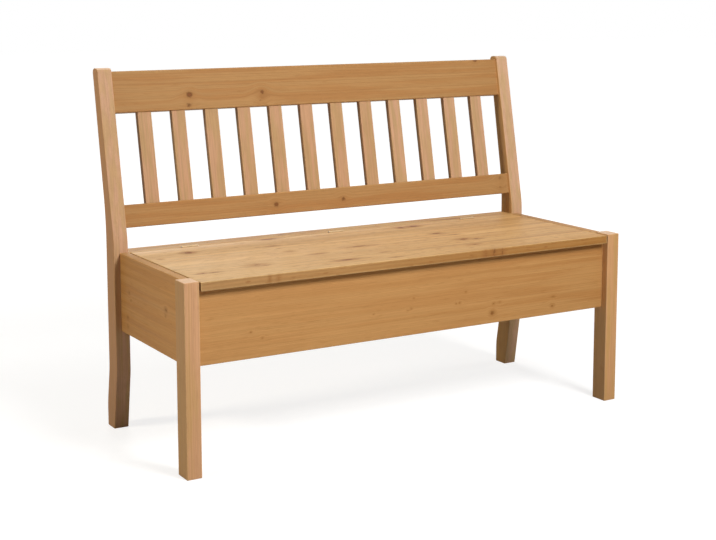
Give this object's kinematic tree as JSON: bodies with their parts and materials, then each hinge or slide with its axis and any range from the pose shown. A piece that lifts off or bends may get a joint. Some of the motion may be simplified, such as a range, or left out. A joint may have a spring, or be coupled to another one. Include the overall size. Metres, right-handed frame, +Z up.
{
  "type": "storage bench",
  "caption": "Pine storage bench with a raked slatted back, curved rear posts and a box seat whose full-width lid lifts on butt hinges.",
  "frame": {"origin": "on the floor, under the middle of the bench's outer box", "axes": "+X along the bench to its right end, seen from the front; +Y from the front to the back; +Z up"},
  "size_m": [1.27, 0.5476, 0.915],
  "materials": {
    "pine_stile": "oiled, satin",
    "pine_board": "oiled, satin",
    "pine_seat": "oiled, satin",
    "raw_pine": "planed, matt",
    "birch_plywood": "sanded, matt",
    "beech_dowel": "plain",
    "zinc_hinge": "zinc plated",
    "zinc_screw": "zinc plated"
  },
  "bodies": {
    "bench": {"right_front_leg": "pine_stile", "left_front_leg": "pine_stile", "right_rear_post": "pine_stile", "left_rear_post": "pine_stile", "right_side_panel": "pine_board", "left_side_panel": "pine_board", "front_panel": "pine_board", "rear_panel": "pine_board", "rear_seat_rail": "pine_seat", "front_floor_cleat": "raw_pine", "rear_floor_cleat": "raw_pine", "left_floor_cleat": "raw_pine", "right_floor_cleat": "raw_pine", "floor_panel": "birch_plywood", "cleat_screws": "zinc_screw", "side_panel_dowels": "beech_dowel", "front_panel_dowels": "beech_dowel", "rear_panel_dowels": "beech_dowel", "seat_rail_dowels": "beech_dowel", "back_top_rail": "pine_board", "back_bottom_rail": "pine_board", "back_slat_01": "pine_stile", "back_slat_02": "pine_stile", "back_slat_03": "pine_stile", "back_slat_04": "pine_stile", "back_slat_05": "pine_stile", "back_slat_06": "pine_stile", "back_slat_07": "pine_stile", "back_slat_08": "pine_stile", "back_slat_09": "pine_stile", "back_slat_10": "pine_stile", "back_slat_11": "pine_stile", "back_slat_12": "pine_stile", "left_hinge_rail_leaf": "zinc_hinge", "left_hinge_pin": "zinc_hinge", "middle_hinge_rail_leaf": "zinc_hinge", "middle_hinge_pin": "zinc_hinge", "right_hinge_rail_leaf": "zinc_hinge", "right_hinge_pin": "zinc_hinge", "hinge_rail_screws": "zinc_screw"},
    "lid": {"seat_lid": "pine_seat", "left_lid_batten": "raw_pine", "middle_lid_batten": "raw_pine", "right_lid_batten": "raw_pine", "batten_screws": "zinc_screw", "left_hinge_lid_leaf": "zinc_hinge", "middle_hinge_lid_leaf": "zinc_hinge", "right_hinge_lid_leaf": "zinc_hinge", "hinge_lid_screws": "zinc_screw"}
  },
  "joints": [
    {"name": "lid_hinge", "type": "hinge", "parent": "bench", "child": "lid", "pos_m": [0, 0.15018, 0.459], "axis": [-1, 0, 0], "range_deg": [0, 102.4]}
  ]
}
